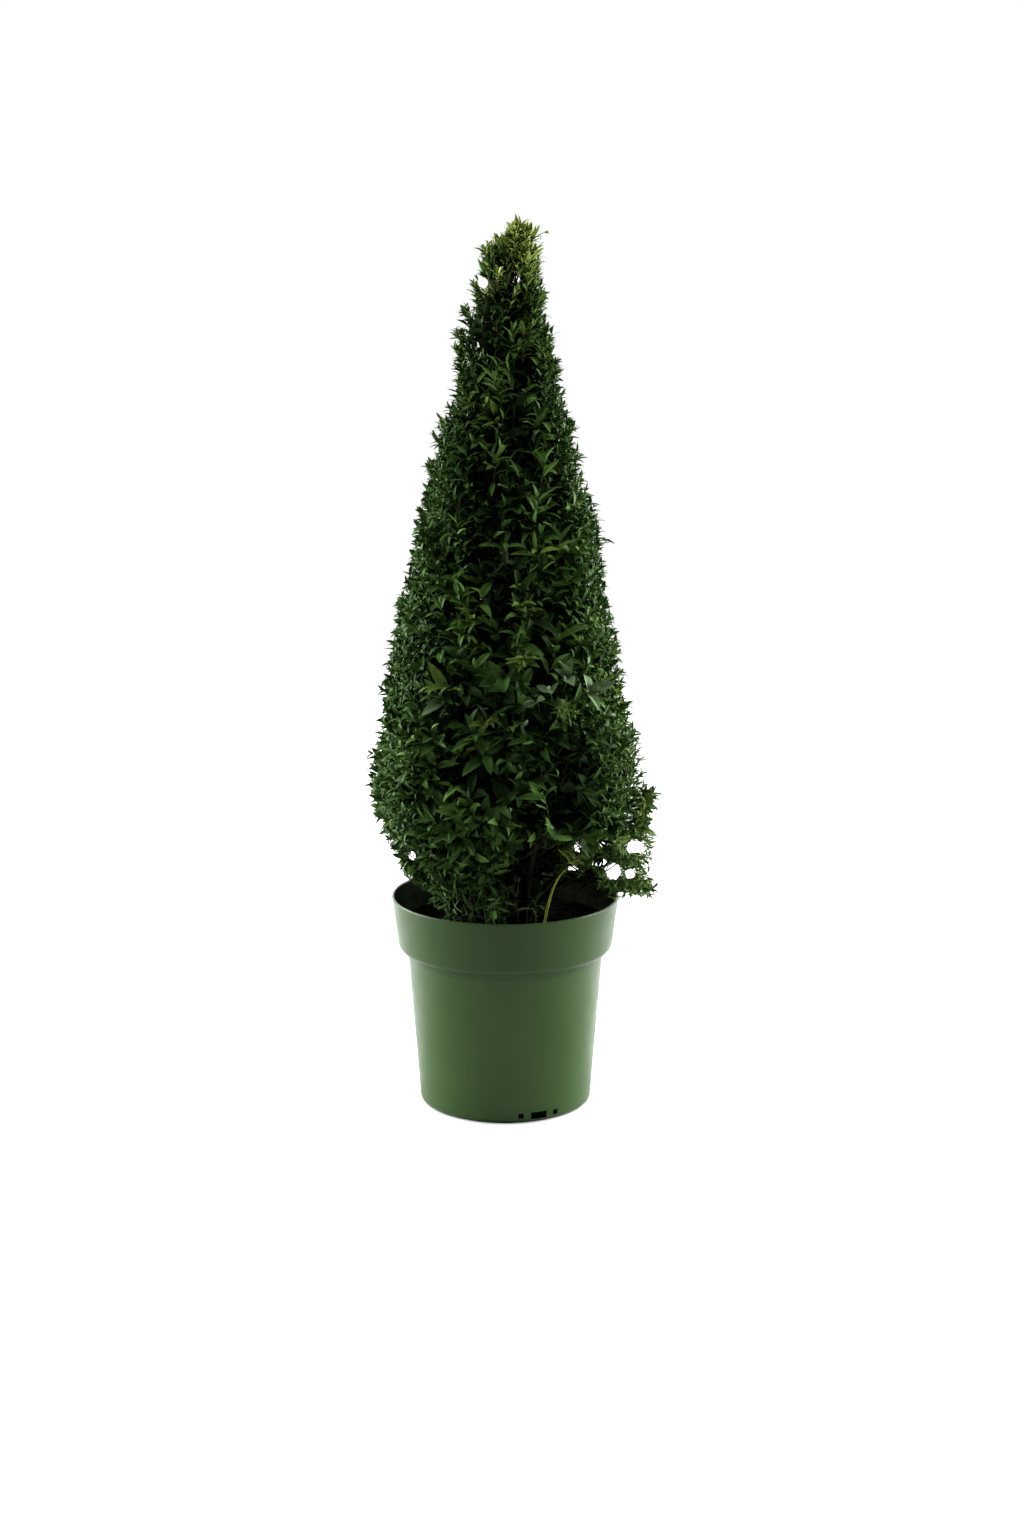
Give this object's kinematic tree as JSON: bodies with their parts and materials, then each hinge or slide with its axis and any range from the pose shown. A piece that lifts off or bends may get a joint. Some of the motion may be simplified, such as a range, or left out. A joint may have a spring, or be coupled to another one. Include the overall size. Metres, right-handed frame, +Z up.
{
  "type": "boxwood cone topiary",
  "caption": "Evergreen boxwood shrub clipped to a tall cone, growing in a plain round green nursery pot with a collar rim.",
  "frame": {"origin": "centre of the pot's flat underside", "axes": "+Z up along the pot's axis, -Y towards the front, +X to the right seen from the front"},
  "size_m": [0.3582, 0.3318, 1.085],
  "materials": {
    "pot_plastic": "moulded, satin, fine scuffs",
    "potting_mix": "rough crumbs of bark and peat",
    "bark": "furrowed bark, matte",
    "young_bark": "green young bark, smooth",
    "deep_leaf": "glossy old leaf",
    "leaf": "glossy evergreen leaf",
    "fresh_leaf": "glossy fresh leaf",
    "young_leaf": "glossy young leaf"
  },
  "bodies": {
    "root": {"pot": "pot_plastic", "potting_mix": "potting_mix", "main_stem": "bark", "hem_left": "deep_leaf", "hem_right": "leaf", "hem_back": "deep_leaf", "belly_left": "deep_leaf", "belly_right": "leaf", "belly_back": "deep_leaf", "waist_front": "leaf", "waist_back": "leaf", "shoulder": "leaf", "neck": "fresh_leaf", "tip": "young_leaf", "spray_right_low": "fresh_leaf", "spray_right_back": "fresh_leaf", "spray_right_high": "young_leaf", "spray_left_low": "fresh_leaf", "stem_front_left": "bark", "stem_front": "bark", "stem_left": "bark", "stem_back_left": "bark", "stem_back_right": "bark", "stem_front_right": "bark", "bough_right_low": "bark", "bough_right_back": "bark", "bough_left_low": "bark", "young_shoot": "young_bark"}
  },
  "joints": []
}
